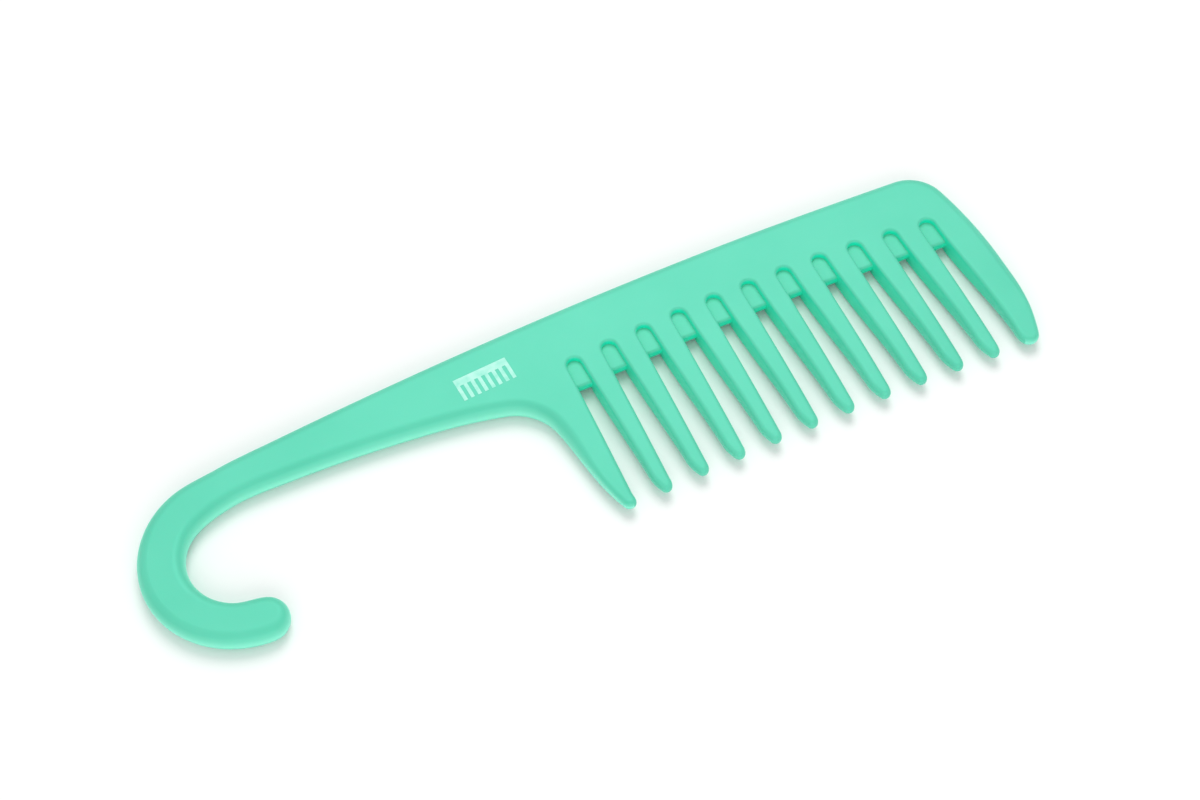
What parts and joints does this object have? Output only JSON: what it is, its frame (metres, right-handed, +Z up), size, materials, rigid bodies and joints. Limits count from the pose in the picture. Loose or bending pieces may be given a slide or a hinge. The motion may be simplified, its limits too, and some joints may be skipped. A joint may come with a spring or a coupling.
{
  "type": "wide tooth comb",
  "caption": "Flat wide tooth detangling comb with a curved hook handle, for hanging in the shower.",
  "frame": {"origin": "middle of the comb's footprint, on the surface it lies on", "axes": "+X along the comb from the hook to the last tooth, +Y from the tooth tips to the back edge, +Z up out of the front face"},
  "size_m": [0.2396, 0.062, 0.0063],
  "materials": {
    "mint_plastic": "moulded, soft satin",
    "white_ink": "thin pad-printed ink"
  },
  "bodies": {
    "root": {"comb_body": "mint_plastic", "printed_mark": "white_ink"}
  },
  "joints": []
}
